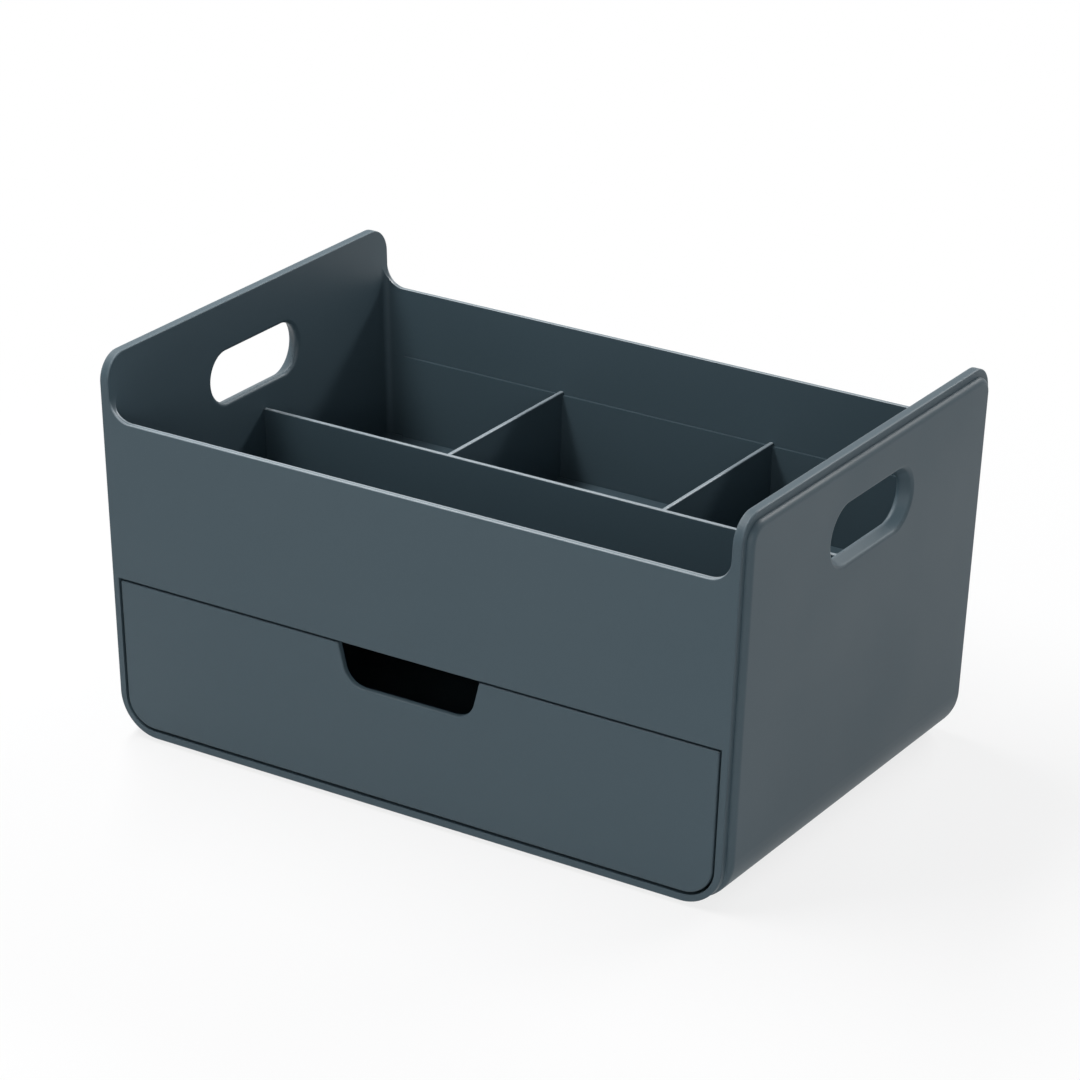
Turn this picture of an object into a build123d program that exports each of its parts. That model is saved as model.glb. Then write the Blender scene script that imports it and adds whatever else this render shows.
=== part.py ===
from build123d import *
import os
from math import radians, tan

os.makedirs("parts", exist_ok=True)

# Desk organizer with a drawer. X runs across the front, the front faces -Y and Z is up.
# The origin is under the middle of the case, on the surface that the feet stand on.
# Lengths are millimetres, drafts are degrees, heights count from the underside of the case.

# Case outside
rim_width = 280.0
rim_depth = 182.0
side_height = 151.7
wall_drop = 24.7
side_draft = 2.1
end_draft = 0.6
heel_radius = 19.4
rim_corner_radius = 10.5
wall_sweep_radius = 9.0
wall_edge_radius = 0.5

# Raised panel on the outside of each side, with a lip left round its front, top and back
panel_step = 2.4
panel_border = 3.0
panel_edge_radius = 2.3
lip_edge_radius = 0.6

# Case walls
side_wall = 6.3
bay_wall = 5.2
end_wall = 2.2
floor_thickness = 3.0
inner_corner_radius = 2.5

# Hand-holds through the sides, narrowing from the outside in
hold_length = 61.5
hold_height = 25.6
hold_drop = 30.5
hold_draft = 24.0
hold_edge_radius = 1.5

# Feet, two strips let into the underside
foot_height = 1.6
foot_length = 201.0
foot_width = 8.0
foot_inset = 3.0
foot_recess = 0.7
foot_end_chamfer = 1.2

# Drawer bay and drawer
mouth_height = 63.6
bay_corner_radius = 13.0
drawer_gap = 1.0
drawer_back_gap = 3.0
drawer_side_height = 56.0
drawer_wall = 2.0
drawer_front_wall = 2.2
drawer_floor = 2.0
drawer_inner_radius = 3.0
drawer_edge_radius = 0.6
drawer_travel = 120.0
runner_width = 4.0
runner_spread = 180.0

# Finger notch in the top of the drawer front
notch_width = 61.5
notch_floor_width = 53.5
notch_depth = 16.0
notch_radius = 9.0

# Drawer stop: two lugs on the back of the drawer meet a rib under the compartment tray
lug_width = 14.0
lug_spread = 120.0
lug_clearance = 0.6
stop_rib_depth = 3.4
stop_rib_thickness = 2.0
stop_clearance = 0.5

# Compartment tray, let in from above onto ledges
tray_underside_height = 62.1
tray_thickness = 2.0
tray_lip_drop = 28.2
tray_lip_thickness = 1.0
tray_lip_setback = 7.0
ledge_width = 1.8
ledge_depth = 1.8

# Dividers, standing in grooves in the tray
divider_thickness = 1.8
long_divider_drop = 25.7
cross_divider_drop = 26.9
divider_groove = 0.8
divider_edge_radius = 0.5
long_divider_y = 4.8
cross_divider_spread = 95.6

# Play around each piece that is let into another, and how far cuts run past the faces they open
fit_clearance = 0.15
overrun = 5.0

# Heights that follow the sides: the front and back walls, and what stands lower than they do
wall_height = side_height - wall_drop
hold_centre_height = side_height - hold_drop
tray_lip_height = wall_height - tray_lip_drop
long_divider_height = wall_height - long_divider_drop
cross_divider_height = wall_height - cross_divider_drop

side_lean = tan(radians(side_draft))
end_lean = tan(radians(end_draft))
front_view = Plane(origin=(0, 0, foot_height), x_dir=(1, 0, 0), z_dir=(0, -1, 0))
side_view = Plane(origin=(0, 0, foot_height), x_dir=(0, 1, 0), z_dir=(1, 0, 0))


def side_x(height, inset=0):
    """Half width of the flared case at a height, taken in by an inset."""
    return rim_width / 2 - (side_height - height) * side_lean - inset


def end_y(height, inset=0):
    """Half depth of the flared case at a height, taken in by an inset."""
    return rim_depth / 2 - (side_height - height) * end_lean - inset


def flare(half_size, inset, low, high):
    """Corners of a section that flares with the case, from the lower left one round."""
    return [
        (-half_size(low, inset), low),
        (half_size(low, inset), low),
        (half_size(high, inset), high),
        (-half_size(high, inset), high),
    ]


# Space above the tray, rounded in its four upright corners
open_height = side_height + overrun
with BuildPart() as upper_space:
    with BuildSketch(front_view):
        with BuildLine():
            Polyline(*flare(side_x, side_wall, tray_underside_height, open_height), close=True)
        make_face()
    extrude(amount=rim_depth / 2, both=True)
    with BuildSketch(side_view):
        with BuildLine():
            Polyline(*flare(end_y, end_wall, tray_underside_height, open_height), close=True)
        make_face()
    extrude(amount=rim_width / 2, both=True, mode=Mode.INTERSECT)
    fillet(edges().filter_by(Axis.X, reverse=True).filter_by(Axis.Y, reverse=True), inner_corner_radius)

# Drawer bay, with a ledge left for the tray along the top of its sides and back
ledge_height = tray_underside_height - ledge_depth
ledge_x = side_x(ledge_height, side_wall + ledge_width)
ledge_y = end_y(ledge_height, end_wall + ledge_width)
with BuildPart() as drawer_bay:
    with BuildSketch(front_view):
        with BuildLine():
            Polyline(*flare(side_x, bay_wall, floor_thickness, tray_underside_height), close=True)
        make_face()
        fillet(vertices().group_by(Axis.Y)[0], bay_corner_radius)
    extrude(amount=rim_depth / 2, both=True)
    with BuildSketch(side_view):
        with BuildLine():
            Polyline(*flare(end_y, end_wall, floor_thickness, tray_underside_height), close=True)
        make_face()
    extrude(amount=rim_width / 2, both=True, mode=Mode.INTERSECT)
    with BuildSketch(Plane.XY.offset(foot_height + ledge_height)):
        with Locations((0, -ledge_y)):
            Rectangle(rim_width, rim_depth, align=(Align.CENTER, Align.MIN))
            Rectangle(2 * ledge_x, 2 * ledge_y, align=(Align.CENTER, Align.MIN), mode=Mode.SUBTRACT)
    extrude(amount=ledge_depth, mode=Mode.SUBTRACT)

# Body whose two ends are the raised panels, smaller than the sides by the border left for the lip
panel_height = side_height - panel_border
with BuildPart() as panel_body:
    with BuildSketch(front_view):
        with BuildLine():
            Polyline(*flare(side_x, 0, 0, panel_height), close=True)
        make_face()
        fillet(vertices().group_by(Axis.Y)[0], heel_radius)
    extrude(amount=rim_depth / 2, both=True)
    with BuildSketch(side_view):
        with BuildLine():
            Polyline(*flare(end_y, panel_border, 0, panel_height), close=True)
        make_face()
        fillet(vertices().group_by(Axis.Y)[-1], rim_corner_radius - panel_border)
    extrude(amount=rim_width / 2, both=True, mode=Mode.INTERSECT)
    panels = faces().sort_by(Axis.X)[0], faces().sort_by(Axis.X)[-1]
    fillet([edge for panel in panels for edge in panel.edges().sort_by(Axis.Z)[1:]], panel_edge_radius)

# Space of the hand-holds, from both sides inward
hold_depth = rim_width / 2 - side_x(hold_centre_height, side_wall) + overrun
with BuildPart() as hold_space:
    with BuildSketch(side_view.offset(rim_width / 2)):
        with Locations((0, hold_centre_height)):
            SlotOverall(hold_length, hold_height)
    extrude(amount=-hold_depth, taper=hold_draft)
    mirror(about=Plane.YZ)

# Case shell: a flared tub with high thick sides, lower front and back walls and the drawer mouth
foot_y = end_y(0, foot_inset + foot_width / 2)
with BuildPart() as case_shell:
    with BuildSketch(front_view):
        with BuildLine():
            Polyline(*flare(side_x, panel_step, 0, side_height), close=True)
        make_face()
        fillet(vertices().group_by(Axis.Y)[0], heel_radius - panel_step)
    extrude(amount=rim_depth / 2, both=True)
    with BuildSketch(side_view):
        with BuildLine():
            Polyline(*flare(end_y, 0, 0, side_height), close=True)
        make_face()
        fillet(vertices().group_by(Axis.Y)[-1], rim_corner_radius)
    extrude(amount=rim_width / 2, both=True, mode=Mode.INTERSECT)
    lips = faces().sort_by(Axis.X)[0], faces().sort_by(Axis.X)[-1]
    fillet([edge for lip in lips for edge in lip.edges().sort_by(Axis.Z)[1:]], lip_edge_radius)
    add(panel_body.part)

    # The front and back walls drop between the sides, with a sweep up to each side
    with BuildSketch(front_view):
        with BuildLine():
            Polyline(*flare(side_x, side_wall, wall_height, open_height), close=True)
        make_face()
        fillet(vertices().group_by(Axis.Y)[0], wall_sweep_radius)
    extrude(amount=rim_depth, both=True, mode=Mode.SUBTRACT)
    wall_tops = edges(Select.LAST).filter_by(Axis.X).group_by(Axis.Z)[0]
    fillet(wall_tops, wall_edge_radius)

    add(upper_space.part, mode=Mode.SUBTRACT)
    add(drawer_bay.part, mode=Mode.SUBTRACT)

    # The drawer mouth is as wide as the bay
    with BuildSketch(front_view.offset(ledge_y)):
        with BuildLine():
            Polyline(*flare(side_x, bay_wall, floor_thickness, mouth_height), close=True)
        make_face()
        fillet(vertices().group_by(Axis.Y)[0], bay_corner_radius)
    extrude(amount=rim_depth / 2, mode=Mode.SUBTRACT)

    # Hand-holds, eased on both faces of each side
    add(hold_space.part, mode=Mode.SUBTRACT)
    hold_outlines = edges(Select.LAST).filter_by(lambda edge: edge.bounding_box().size.X < side_wall / 2)
    fillet(hold_outlines, hold_edge_radius)

    # Shallow recesses for the feet
    with BuildSketch(Plane.XY.offset(foot_height)):
        with Locations((0, -foot_y), (0, foot_y)):
            Rectangle(foot_length + 2 * fit_clearance, foot_width + 2 * fit_clearance)
    extrude(amount=foot_recess, mode=Mode.SUBTRACT)

case_shell.part.label = "case_shell"
export_step(case_shell.part, "parts/case_shell.step")

# Foot strips, with ends that slope up to the case
for name, y in (("front_foot_strip", -foot_y), ("rear_foot_strip", foot_y)):
    with BuildPart() as foot_strip:
        with BuildSketch():
            with Locations((0, y)):
                Rectangle(foot_length, foot_width)
        extrude(amount=foot_height + foot_recess)
        strip_ends = faces().sort_by(Axis.Z)[0].edges().filter_by(Axis.Y)
        chamfer(strip_ends, foot_end_chamfer)
    foot_strip.part.label = name
    export_step(foot_strip.part, f"parts/{name}.step")

# Drawer places: the box rides on runners, its front is flush with the case and stands taller
drawer_inset = bay_wall + drawer_gap
drawer_base_height = floor_thickness + drawer_gap
drawer_front_height = mouth_height - drawer_gap
drawer_corner_radius = bay_corner_radius - drawer_gap
drawer_back_inset = end_wall + drawer_back_gap
drawer_inside_height = drawer_base_height + drawer_floor
lug_height = tray_underside_height - lug_clearance

# Space inside the drawer
with BuildPart() as drawer_space:
    with BuildSketch(front_view):
        with BuildLine():
            inner_inset = drawer_inset + drawer_wall
            Polyline(*flare(side_x, inner_inset, drawer_inside_height, open_height), close=True)
        make_face()
        fillet(vertices().group_by(Axis.Y)[0], drawer_corner_radius - drawer_wall)
    extrude(amount=rim_depth / 2, both=True)
    with BuildSketch(side_view):
        with BuildLine():
            Polyline(
                (-end_y(drawer_inside_height, drawer_front_wall), drawer_inside_height),
                (end_y(drawer_inside_height, drawer_back_inset + drawer_wall), drawer_inside_height),
                (end_y(open_height, drawer_back_inset + drawer_wall), open_height),
                (-end_y(open_height, drawer_front_wall), open_height),
                close=True,
            )
        make_face()
    extrude(amount=rim_width / 2, both=True, mode=Mode.INTERSECT)
    space_ends = faces().sort_by(Axis.Y)[0], faces().sort_by(Axis.Y)[-1]
    fillet([edge for end in space_ends for edge in end.edges().sort_by(Axis.Z)[:-1]], drawer_inner_radius)

# Drawer: one tray with a tall front, a finger notch, runners below and stop lugs at the back
with BuildPart() as drawer:
    with BuildSketch(front_view):
        with BuildLine():
            Polyline(*flare(side_x, drawer_inset, drawer_base_height, drawer_front_height), close=True)
        make_face()
        fillet(vertices().group_by(Axis.Y)[0], drawer_corner_radius)
    extrude(amount=rim_depth / 2, both=True)
    with BuildSketch(side_view):
        with BuildLine():
            Polyline(
                (-end_y(drawer_base_height), drawer_base_height),
                (end_y(drawer_base_height, drawer_back_inset), drawer_base_height),
                (end_y(drawer_side_height, drawer_back_inset), drawer_side_height),
                (-end_y(drawer_side_height, drawer_front_wall), drawer_side_height),
                (-end_y(drawer_front_height, drawer_front_wall), drawer_front_height),
                (-end_y(drawer_front_height), drawer_front_height),
                close=True,
            )
        make_face()
    extrude(amount=rim_width / 2, both=True, mode=Mode.INTERSECT)
    add(drawer_space.part, mode=Mode.SUBTRACT)

    # Finger notch
    notch_floor_height = drawer_front_height - notch_depth
    notch_slope = (notch_width - notch_floor_width) / 2 / notch_depth
    with BuildSketch(front_view.offset(end_y(notch_floor_height, drawer_front_wall + overrun))):
        with BuildLine():
            Polyline(
                (-notch_floor_width / 2, notch_floor_height),
                (notch_floor_width / 2, notch_floor_height),
                (notch_width / 2 + notch_slope * overrun, drawer_front_height + overrun),
                (-notch_width / 2 - notch_slope * overrun, drawer_front_height + overrun),
                close=True,
            )
        make_face()
        fillet(vertices().group_by(Axis.Y)[0], notch_radius)
    extrude(amount=drawer_front_wall + 2 * overrun, mode=Mode.SUBTRACT)
    fillet(faces().sort_by(Axis.Y)[0].edges(), drawer_edge_radius)

    # Runners that slide on the case floor
    runner_front = -end_y(floor_thickness, drawer_front_wall + runner_width)
    runner_back = end_y(floor_thickness, drawer_back_inset + runner_width)
    with BuildSketch(Plane.XY.offset(foot_height + floor_thickness)):
        with GridLocations(runner_spread, runner_back, 2, 1):
            with Locations((0, (runner_front + runner_back) / 2)):
                SlotOverall(runner_back - runner_front, runner_width, rotation=90)
    extrude(amount=drawer_gap + drawer_floor / 2)

    # Stop lugs
    lug_foot_height = drawer_side_height - drawer_wall
    with BuildSketch(side_view.offset(-lug_spread / 2), side_view.offset(lug_spread / 2)):
        with BuildLine():
            Polyline(
                (end_y(lug_foot_height, drawer_back_inset + drawer_wall), lug_foot_height),
                (end_y(lug_foot_height, drawer_back_inset), lug_foot_height),
                (end_y(lug_height, drawer_back_inset), lug_height),
                (end_y(lug_height, drawer_back_inset + drawer_wall), lug_height),
                close=True,
            )
        make_face()
    extrude(amount=lug_width / 2, both=True)

drawer.part.label = "drawer"
export_step(drawer.part, "parts/drawer.step")

# Compartment tray: a floor with a low lip at the front and back, and the rib that stops the drawer
tray_top_height = tray_underside_height + tray_thickness
tray_side_inset = side_wall + fit_clearance
tray_end_inset = end_wall + fit_clearance
lip_inner_inset = tray_end_inset + tray_lip_thickness
lip_half_length = side_x(tray_top_height, tray_side_inset + tray_lip_setback)
groove_width = divider_thickness + 2 * fit_clearance
cross_divider_x = cross_divider_spread / 2
rib_height = tray_underside_height - stop_rib_depth
rib_back = end_y(rib_height, drawer_back_inset + drawer_wall) - drawer_travel - stop_clearance
with BuildPart() as compartment_tray:
    with BuildSketch(front_view):
        with BuildLine():
            Polyline(*flare(side_x, tray_side_inset, tray_underside_height, tray_top_height), close=True)
        make_face()
    extrude(amount=rim_depth / 2, both=True)
    with BuildSketch(side_view):
        with BuildLine():
            Polyline(*flare(end_y, tray_end_inset, tray_underside_height, tray_top_height), close=True)
        make_face()
    extrude(amount=rim_width / 2, both=True, mode=Mode.INTERSECT)
    fillet(edges().filter_by(Axis.X, reverse=True).filter_by(Axis.Y, reverse=True), inner_corner_radius)

    # Front and back lips lie against the case walls
    with BuildSketch(side_view):
        with BuildLine():
            Polyline(*flare(end_y, tray_end_inset, tray_underside_height, tray_lip_height), close=True)
        make_face()
        with BuildLine():
            Polyline(*flare(end_y, lip_inner_inset, tray_underside_height, tray_lip_height), close=True)
        make_face(mode=Mode.SUBTRACT)
    extrude(amount=lip_half_length, both=True)

    # Stop rib, sloped in front so that the drawer's lugs ride under it going in
    with BuildSketch(side_view):
        with BuildLine():
            Polyline(
                (rib_back, tray_underside_height),
                (rib_back, rib_height),
                (rib_back - stop_rib_thickness, rib_height),
                (rib_back - stop_rib_thickness - stop_rib_depth, tray_underside_height),
                close=True,
            )
        make_face()
    extrude(amount=lug_spread / 2 + lug_width, both=True)

    # Grooves for the dividers
    with BuildSketch(Plane.XY.offset(foot_height + tray_top_height)):
        with Locations((0, long_divider_y)):
            Rectangle(rim_width, groove_width)
        with Locations((-cross_divider_x, long_divider_y), (cross_divider_x, long_divider_y)):
            groove_end = end_y(tray_top_height, lip_inner_inset)
            Rectangle(groove_width, groove_end - long_divider_y, align=(Align.CENTER, Align.MIN))
    extrude(amount=-divider_groove, mode=Mode.SUBTRACT)

compartment_tray.part.label = "compartment_tray"
export_step(compartment_tray.part, "parts/compartment_tray.step")

# Long divider, from side to side
divider_foot_height = tray_top_height - divider_groove
with BuildPart() as long_divider:
    with BuildSketch(front_view.offset(-long_divider_y)):
        with BuildLine():
            Polyline(*flare(side_x, tray_side_inset, divider_foot_height, long_divider_height), close=True)
        make_face()
    extrude(amount=divider_thickness / 2, both=True)
    fillet(edges().filter_by(Axis.X).group_by(Axis.Z)[-1], divider_edge_radius)

long_divider.part.label = "long_divider"
export_step(long_divider.part, "parts/long_divider.step")

# Cross dividers, from the long divider to the back wall, hooked over the tray's back lip
cross_front = long_divider_y + divider_thickness / 2
for name, x in (("left_cross_divider", -cross_divider_x), ("right_cross_divider", cross_divider_x)):
    with BuildPart() as cross_divider:
        with BuildSketch(side_view.offset(x)):
            with BuildLine():
                Polyline(
                    (cross_front, divider_foot_height),
                    (end_y(divider_foot_height, lip_inner_inset), divider_foot_height),
                    (end_y(tray_lip_height, lip_inner_inset), tray_lip_height),
                    (end_y(tray_lip_height, tray_end_inset), tray_lip_height),
                    (end_y(cross_divider_height, tray_end_inset), cross_divider_height),
                    (cross_front, cross_divider_height),
                    close=True,
                )
            make_face()
        extrude(amount=divider_thickness / 2, both=True)
        fillet(edges().filter_by(Axis.Y).group_by(Axis.Z)[-1], divider_edge_radius)
    cross_divider.part.label = name
    export_step(cross_divider.part, f"parts/{name}.step")
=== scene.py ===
from math import cos, radians, sin

import bpy
from mathutils import Matrix, Vector

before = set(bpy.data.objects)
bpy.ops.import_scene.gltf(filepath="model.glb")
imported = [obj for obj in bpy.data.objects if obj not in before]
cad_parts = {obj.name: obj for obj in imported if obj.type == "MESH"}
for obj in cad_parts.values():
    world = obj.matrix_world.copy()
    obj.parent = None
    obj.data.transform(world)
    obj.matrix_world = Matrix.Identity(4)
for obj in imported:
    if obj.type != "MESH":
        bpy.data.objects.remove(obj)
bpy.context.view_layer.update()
scene = bpy.context.scene
scene.view_settings.view_transform = "Standard"

# Everything is in metres. The case stands on z = 0, its front faces -Y.
MM = 0.001
UPWARDS, FORWARDS = (0, 0, 1), (0, -1, 0)
WHITE = "#FFFFFF"

# Blender's mix node takes its two colours at these inputs and gives the mixed one at this output
FIRST_COLOUR, SECOND_COLOUR, MIXED_COLOUR = 6, 7, 2


def colour(hex_code):
    """Linear colour, with full alpha, of an sRGB hex code."""
    shares = [int(hex_code[i:i + 2], 16) / 255 for i in (1, 3, 5)]
    linear = [s / 12.92 if s <= 0.04045 else ((s + 0.055) / 1.055) ** 2.4 for s in shares]
    return (*linear, 1.0)


def add_node(tree, kind, sockets=(), **settings):
    """A shader node with its settings and its input values or links, by socket name or number."""
    node = tree.nodes.new(kind)
    for name, value in settings.items():
        setattr(node, name, value)
    for name, value in dict(sockets).items():
        if isinstance(value, bpy.types.NodeSocket):
            tree.links.new(value, node.inputs[name])
        else:
            node.inputs[name].default_value = value
    return node


def start_material(name):
    """A material with an empty node tree, and that tree."""
    material = bpy.data.materials.new(name)
    material.use_nodes = True
    material.node_tree.nodes.clear()
    return material, material.node_tree


# Spark-eroded pits are about 0.1 mm wide on the real part: drawn over three times as wide, so that they show
GRAIN_WIDTH, GRAIN_DETAIL, GRAIN_CRISPNESS = 0.35 * MM, 3.0, 0.55
# Melt that cools unevenly changes the sheen a little across a hand's width
FLOW_WIDTH, FLOW_DETAIL, FLOW_CRISPNESS = 60 * MM, 2.0, 0.5
FLOW_LOW, FLOW_HIGH, SHEEN_CHANGE = 0.3, 0.7, 0.03
# Plastic and rubber alike, and the pits take away part of the gloss
MOULDED_IOR, PITTED_GLOSS = 1.5, 0.3

# Nearly all lines into the plastic run on past the edge's width on a flat face, and fewer do at an edge.
# An edge starts at the first share of them and is full at the second
EDGE_START, EDGE_FULL = 0.97, 0.72
# How squarely an edge faces the way that is asked for, as a cosine
FACING_START, FACING_FULL = 0.1, 0.6
# Above its highest place a painted edge highlight or shade fades over this height to this share
FADE_HEIGHT, SHARE_ABOVE = 12 * MM, 0.12


def edge_share(tree, place, width, facing, low, high):
    """Full on edges that face one way between two heights, slight on those above, none elsewhere."""
    depth = add_node(tree, "ShaderNodeAmbientOcclusion", {"Distance": width}, inside=True, only_local=True)
    edges = add_node(tree, "ShaderNodeMapRange",
                     {"Value": depth.outputs["AO"], "From Min": EDGE_START, "From Max": EDGE_FULL},
                     interpolation_type="SMOOTHSTEP")
    normal = add_node(tree, "ShaderNodeNewGeometry").outputs["Normal"]
    turned = add_node(tree, "ShaderNodeVectorMath", {0: normal, 1: facing}, operation="DOT_PRODUCT")
    facing_edges = add_node(tree, "ShaderNodeMapRange",
                            {"Value": turned.outputs["Value"], "From Min": FACING_START,
                             "From Max": FACING_FULL, "To Max": edges.outputs["Result"]},
                            interpolation_type="SMOOTHSTEP")
    height = add_node(tree, "ShaderNodeSeparateXYZ", {0: place}).outputs["Z"]
    above_low = add_node(tree, "ShaderNodeMath", {0: height, 1: low}, operation="GREATER_THAN")
    reached = add_node(tree, "ShaderNodeMapRange",
                       {"Value": height, "From Min": high, "From Max": high + FADE_HEIGHT,
                        "To Min": above_low.outputs["Value"], "To Max": SHARE_ABOVE},
                       interpolation_type="SMOOTHSTEP")
    share = add_node(tree, "ShaderNodeMath",
                     {0: facing_edges.outputs["Result"], 1: reached.outputs["Result"]}, operation="MULTIPLY")
    return share.outputs["Value"]


def moulded(name, base, pit, roughness, pit_depth, painted_edge=None):
    """Moulded plastic or rubber: fine pits, uneven sheen and, where given, painted highlight or painted
    shade on some edges.
    """
    material, tree = start_material(name)
    place = add_node(tree, "ShaderNodeTexCoord").outputs["Object"]
    grain = add_node(tree, "ShaderNodeTexNoise",
                     {"Vector": place, "Scale": 1 / GRAIN_WIDTH,
                      "Detail": GRAIN_DETAIL, "Roughness": GRAIN_CRISPNESS})
    flow = add_node(tree, "ShaderNodeTexNoise",
                    {"Vector": place, "Scale": 1 / FLOW_WIDTH,
                     "Detail": FLOW_DETAIL, "Roughness": FLOW_CRISPNESS})
    shade = add_node(tree, "ShaderNodeMix",
                     {"Factor": grain.outputs["Fac"], FIRST_COLOUR: colour(pit),
                      SECOND_COLOUR: colour(base)}, data_type="RGBA")
    sheen = add_node(tree, "ShaderNodeMapRange",
                     {"Value": flow.outputs["Fac"], "From Min": FLOW_LOW, "From Max": FLOW_HIGH,
                      "To Min": roughness - SHEEN_CHANGE, "To Max": roughness + SHEEN_CHANGE})
    # Painted light: edges of the chosen facing and height get a painted highlight or painted shade colour,
    # and their own roughness
    if painted_edge:
        share = edge_share(tree, place, **painted_edge["where"])
        shade = add_node(tree, "ShaderNodeMix",
                         {"Factor": share, FIRST_COLOUR: shade.outputs[MIXED_COLOUR],
                          SECOND_COLOUR: colour(painted_edge["base"])}, data_type="RGBA")
        sheen = add_node(tree, "ShaderNodeMapRange",
                         {"Value": share, "To Min": sheen.outputs["Result"],
                          "To Max": painted_edge["roughness"]})
    pits = add_node(tree, "ShaderNodeBump",
                    {"Height": grain.outputs["Fac"], "Distance": pit_depth, "Strength": 1.0})
    shader = add_node(tree, "ShaderNodeBsdfPrincipled",
                      {"Base Color": shade.outputs[MIXED_COLOUR], "Roughness": sheen.outputs["Result"],
                       "IOR": MOULDED_IOR, "Specular IOR Level": PITTED_GLOSS,
                       "Normal": pits.outputs["Normal"]})
    add_node(tree, "ShaderNodeOutputMaterial", {"Surface": shader.outputs["BSDF"]})
    return material


# Dark slate ABS, moulded in a spark-eroded tool: an even, dull satin with no clear reflections
SLATE_ABS = dict(base="#43535B", pit="#3C4C54", roughness=0.5, pit_depth=0.012 * MM)
# Dark synthetic rubber, moulded: duller and a little deeper in grain than the plastic
DARK_RUBBER = dict(base="#2E3337", pit="#272B2F", roughness=0.7, pit_depth=0.02 * MM)
# Painted highlight: the upward-facing top edges of the low walls and the dividers are painted pale, as light
# catches them, and given a lower roughness; on the high sides only a faint trace of it is painted
TOP_EDGE_HIGHLIGHT = dict(base="#8F9AA0", roughness=0.3,
                   where=dict(width=1.4 * MM, facing=UPWARDS, low=90 * MM, high=130 * MM))
# The gap's shadow draws a soft dark line round the drawer front. The gap itself is too narrow to show
# all of that line, so the rim of the front is darkened too
SHADED_RIM = dict(base="#1D262B", roughness=0.5,
                  where=dict(width=0.6 * MM, facing=FORWARDS, low=0.0, high=100 * MM))

# The case's top edges carry the painted highlight, the drawer front's rim the painted shade
case_plastic = moulded("slate_moulded_abs", **SLATE_ABS, painted_edge=TOP_EDGE_HIGHLIGHT)
drawer_plastic = moulded("slate_moulded_abs_drawer", **SLATE_ABS, painted_edge=SHADED_RIM)
tray_plastic = moulded("slate_moulded_abs_tray", **SLATE_ABS)
foot_rubber = moulded("dark_moulded_rubber", **DARK_RUBBER)

# The case shell and the three dividers share one finish
OTHER_FINISHES = {"drawer": drawer_plastic, "compartment_tray": tray_plastic,
                  "front_foot_strip": foot_rubber, "rear_foot_strip": foot_rubber}
for node_name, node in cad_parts.items():
    node.data.materials.clear()
    node.data.materials.append(OTHER_FINISHES.get(node_name, case_plastic))


def seen_or_mirrored(tree):
    """1 where the camera sees a surface directly, mirrored or through glass, 0 where it only gives light."""
    ray = add_node(tree, "ShaderNodeLightPath")
    seen = add_node(tree, "ShaderNodeMath",
                    {0: ray.outputs["Is Camera Ray"], 1: ray.outputs["Is Glossy Ray"]}, operation="MAXIMUM")
    seen = add_node(tree, "ShaderNodeMath",
                    {0: seen.outputs["Value"], 1: ray.outputs["Is Transmission Ray"]}, operation="MAXIMUM")
    return seen.outputs["Value"]


# Floor: a sweep of uncoated white paper, dull all over. It keeps the contact shadow near the case and fades
# to plain white away from it
FLOOR_SIZE, SHADOW_REACH, FADE_END = 6.0, 0.16, 0.5
WHITE_NEAR = 0.8
PAPER, PAPER_ROUGHNESS, PAPER_GLOSS = "#EAEAEA", 0.9, 0.1
floor_material, floor_tree = start_material("white_paper_sweep")
paper = add_node(floor_tree, "ShaderNodeBsdfPrincipled",
                 {"Base Color": colour(PAPER), "Roughness": PAPER_ROUGHNESS,
                  "Specular IOR Level": PAPER_GLOSS})
floor_place = add_node(floor_tree, "ShaderNodeTexCoord").outputs["Object"]
from_case = add_node(floor_tree, "ShaderNodeVectorMath", {0: floor_place}, operation="LENGTH")
fade = add_node(floor_tree, "ShaderNodeMapRange",
                {"Value": from_case.outputs["Value"], "From Min": SHADOW_REACH, "From Max": FADE_END,
                 "To Min": WHITE_NEAR}, interpolation_type="SMOOTHSTEP")
past_case = add_node(floor_tree, "ShaderNodeMath",
                     {0: fade.outputs["Result"], 1: seen_or_mirrored(floor_tree)}, operation="MULTIPLY")
plain_white = add_node(floor_tree, "ShaderNodeEmission", {"Color": colour(WHITE), "Strength": 1.0})
floor_mix = add_node(floor_tree, "ShaderNodeMixShader",
                     {"Fac": past_case.outputs["Value"], 1: paper.outputs["BSDF"],
                      2: plain_white.outputs["Emission"]})
add_node(floor_tree, "ShaderNodeOutputMaterial", {"Surface": floor_mix.outputs["Shader"]})
bpy.ops.mesh.primitive_plane_add(size=FLOOR_SIZE)
floor = bpy.context.object
floor.name = "floor"
floor.data.materials.append(floor_material)

# Surroundings: a white room that is bright round the horizon and dim overhead, plain white where it is seen.
# It dims from the first height to the second, both as the sine of the angle above the horizon
WALL_TOP, CEILING_START = 0.1, 0.7
ROOM_LIGHT, WALL_STRENGTH, CEILING_STRENGTH = "#E4EDFF", 0.16, 0.06
world = bpy.data.worlds.new("white_room")
scene.world = world
world.use_nodes = True
room = world.node_tree
room.nodes.clear()
sky_place = add_node(room, "ShaderNodeTexCoord").outputs["Generated"]
sky_height = add_node(room, "ShaderNodeSeparateXYZ", {0: sky_place})
dimming = add_node(room, "ShaderNodeMapRange",
                   {"Value": sky_height.outputs["Z"], "From Min": WALL_TOP, "From Max": CEILING_START,
                    "To Min": WALL_STRENGTH, "To Max": CEILING_STRENGTH}, interpolation_type="SMOOTHSTEP")
walls = add_node(room, "ShaderNodeBackground",
                 {"Color": colour(ROOM_LIGHT), "Strength": dimming.outputs["Result"]})
plain = add_node(room, "ShaderNodeBackground", {"Color": colour(WHITE), "Strength": 1.0})
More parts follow.
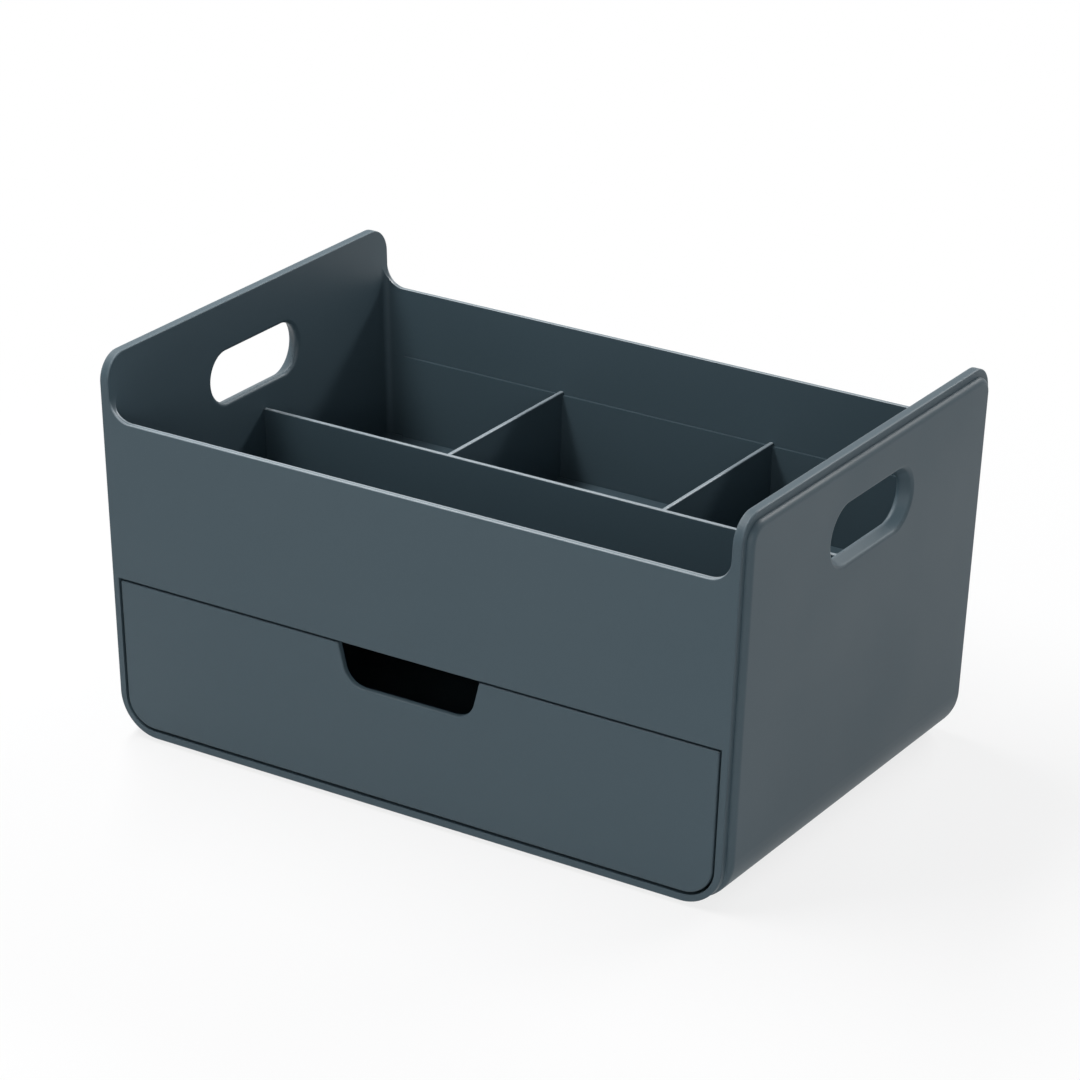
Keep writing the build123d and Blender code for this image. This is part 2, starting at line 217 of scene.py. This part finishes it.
surroundings = add_node(room, "ShaderNodeMixShader",
                        {"Fac": seen_or_mirrored(room), 1: walls.outputs["Background"],
                         2: plain.outputs["Background"]})
add_node(room, "ShaderNodeOutputWorld", {"Surface": surroundings.outputs["Shader"]})

CASE_MIDDLE = Vector((0, 0, 80 * MM))


def softbox(name, place, size, power):
    """A studio softbox that shines from a place towards the middle of the case."""
    lamp = bpy.data.lights.new(name, "AREA")
    lamp.shape = "RECTANGLE"
    lamp.size, lamp.size_y = size
    lamp.energy = power
    lamp_object = bpy.data.objects.new(name, lamp)
    scene.collection.objects.link(lamp_object)
    aim = (CASE_MIDDLE - Vector(place)).to_track_quat("-Z", "Y")
    lamp_object.matrix_world = Matrix.Translation(place) @ aim.to_matrix().to_4x4()


# A low box between front and right lights both faces and the round edge between them, and a higher one the
# inside. Strips over the case and behind it draw the lines on the upper edges
softbox("main_softbox", place=(0.8, -1.0, 0.28), size=(1.3, 0.32), power=3.0)
softbox("front_softbox", place=(0.6, -1.7, 0.8), size=(1.2, 0.6), power=5.4)
softbox("top_strip", place=(-0.34, -0.1, 0.8), size=(1.0, 0.12), power=8.5)
softbox("back_strip", place=(0.35, 1.2, 0.95), size=(1.0, 0.2), power=12.0)

# Camera: the photograph's place and lens, fitted to the case's edges. It looks at a point above the middle
# of the floor, then moves sideways and up without turning
PHOTO_PIXELS, FOCAL_PIXELS, SENSOR_WIDTH = 1080, 4250.703, 36.0
AIM_HEIGHT, CAMERA_DISTANCE = 77.0 * MM, 1599.663 * MM
MOVE_LEFT, MOVE_UP = 0.952 * MM, 3.2 * MM
azimuth, elevation, roll = radians(32.354), radians(23.274), radians(0.791)
back = Vector((sin(azimuth) * cos(elevation), -cos(azimuth) * cos(elevation), sin(elevation)))
level = Vector((cos(azimuth), sin(azimuth), 0.0))
upright = back.cross(level)
right = level * cos(roll) + upright * sin(roll)
up = upright * cos(roll) - level * sin(roll)
eye = Vector((0, 0, AIM_HEIGHT)) + back * CAMERA_DISTANCE - right * MOVE_LEFT + up * MOVE_UP

lens = bpy.data.cameras.new("camera")
lens.sensor_width = SENSOR_WIDTH
lens.sensor_fit = "HORIZONTAL"
lens.lens = SENSOR_WIDTH * FOCAL_PIXELS / PHOTO_PIXELS
camera = bpy.data.objects.new("camera", lens)
scene.collection.objects.link(camera)
camera.matrix_world = Matrix((
    (right.x, up.x, back.x, eye.x),
    (right.y, up.y, back.y, eye.y),
    (right.z, up.z, back.z, eye.z),
    (0, 0, 0, 1),
))
scene.camera = camera
